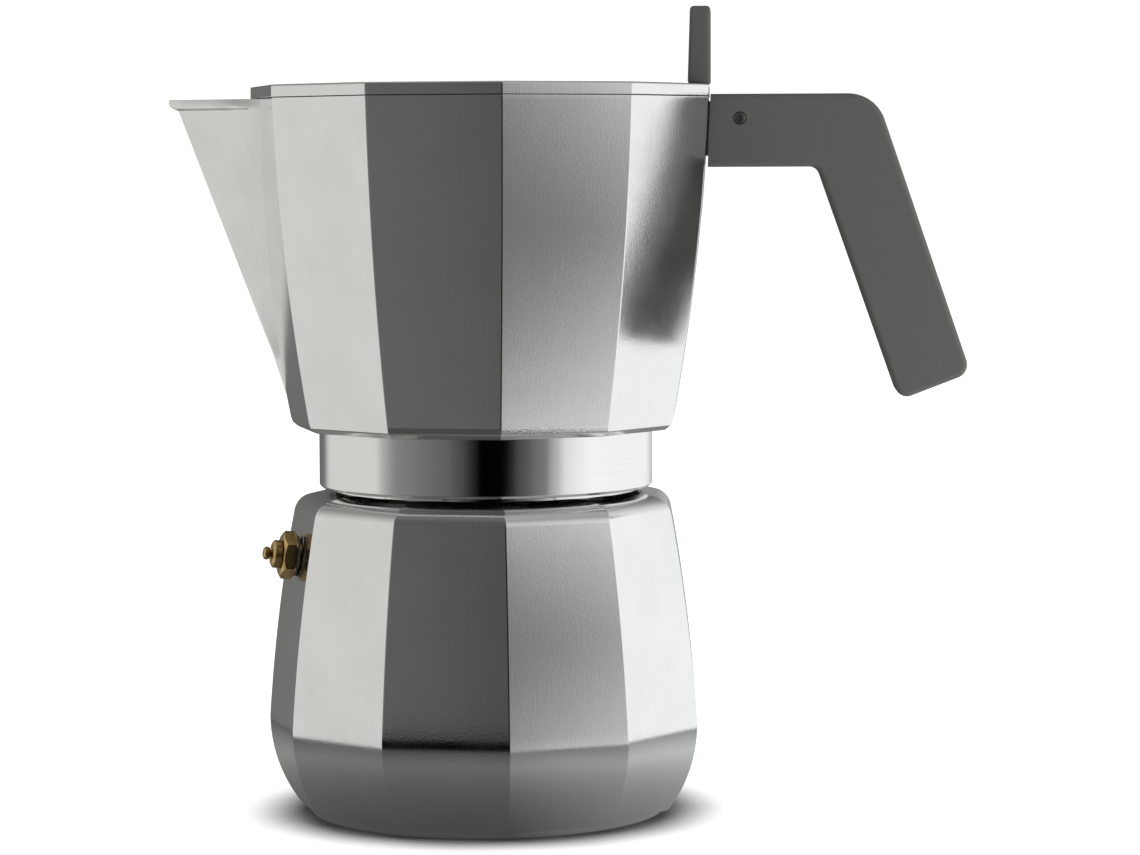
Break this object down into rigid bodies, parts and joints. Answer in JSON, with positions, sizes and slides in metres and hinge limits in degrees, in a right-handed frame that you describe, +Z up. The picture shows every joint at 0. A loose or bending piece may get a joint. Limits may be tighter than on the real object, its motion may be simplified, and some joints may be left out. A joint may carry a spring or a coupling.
{
  "type": "moka pot",
  "caption": "Faceted aluminium stovetop coffee pot: boiler with brass valve, funnel, screw-on spouted jug, hinged flat lid, angular plastic handle.",
  "frame": {"origin": "on the boiler's axis, at the flat underside the pot stands on", "axes": "+Z up, +X from the pot's axis toward the handle, -X toward the spout, +Y to the left when looking from the spout to the handle"},
  "size_m": [0.2287, 0.1332, 0.2309],
  "materials": {
    "cast_aluminium": "satin",
    "spun_aluminium": "satin",
    "grey_plastic": "matte",
    "brass": "aged",
    "steel": "satin",
    "white_silicone": "matte",
    "black_rubber": "matte",
    "fibre": "matte"
  },
  "bodies": {
    "boiler": {"boiler": "cast_aluminium", "valve_washer": "fibre", "valve_body": "brass", "valve_collar": "brass", "valve_spring": "steel"},
    "plunger": {"valve_plunger": "brass", "valve_seal": "black_rubber"},
    "funnel": {"funnel_basket": "spun_aluminium", "funnel_filter": "spun_aluminium"},
    "gasket_ring": {"gasket": "white_silicone"},
    "filter_disc": {"filter_plate": "spun_aluminium"},
    "jug": {"jug": "cast_aluminium", "column": "cast_aluminium", "handle": "grey_plastic", "hinge_screw": "steel", "hinge_barrel_nut": "steel"},
    "lid": {"lid": "cast_aluminium", "lid_knob": "grey_plastic", "knob_screw_front": "steel", "knob_screw_rear": "steel"}
  },
  "joints": [
    {"name": "jug_lift_off", "type": "slide", "parent": "boiler", "child": "gasket_ring", "axis": [0, 0, 1], "range_m": [0, 0.205]},
    {"name": "jug_screw_rise", "type": "slide", "parent": "gasket_ring", "child": "filter_disc", "axis": [0, 0, 1], "range_m": [0, 0.00452]},
    {"name": "jug_unscrew", "type": "hinge", "parent": "filter_disc", "child": "jug", "pos_m": [0, 0, 0.1], "axis": [0, 0, 1], "range_deg": [0, 540]},
    {"name": "lid_hinge", "type": "hinge", "parent": "jug", "child": "lid", "pos_m": [0.0733, 0, 0.1991], "axis": [0, 1, 0], "range_deg": [0, 91]},
    {"name": "funnel_lift_out", "type": "slide", "parent": "boiler", "child": "funnel", "axis": [0, 0, 1], "range_m": [0, 0.1026]},
    {"name": "valve_pop", "type": "slide", "parent": "boiler", "child": "plunger", "axis": [-0.9461, -0.3001, 0.1219], "range_m": [0, 0.0018], "stiffness_N_per_m": 800, "springref_m": -0.003, "deforming": ["valve_spring"]}
  ],
  "couplings": [
    {"joint": "jug_screw_rise", "follows": "jug_unscrew", "m_per_rad": 0.00047746},
    {"joint": "funnel_lift_out", "follows": "jug_lift_off", "ratio": 0.5}
  ]
}
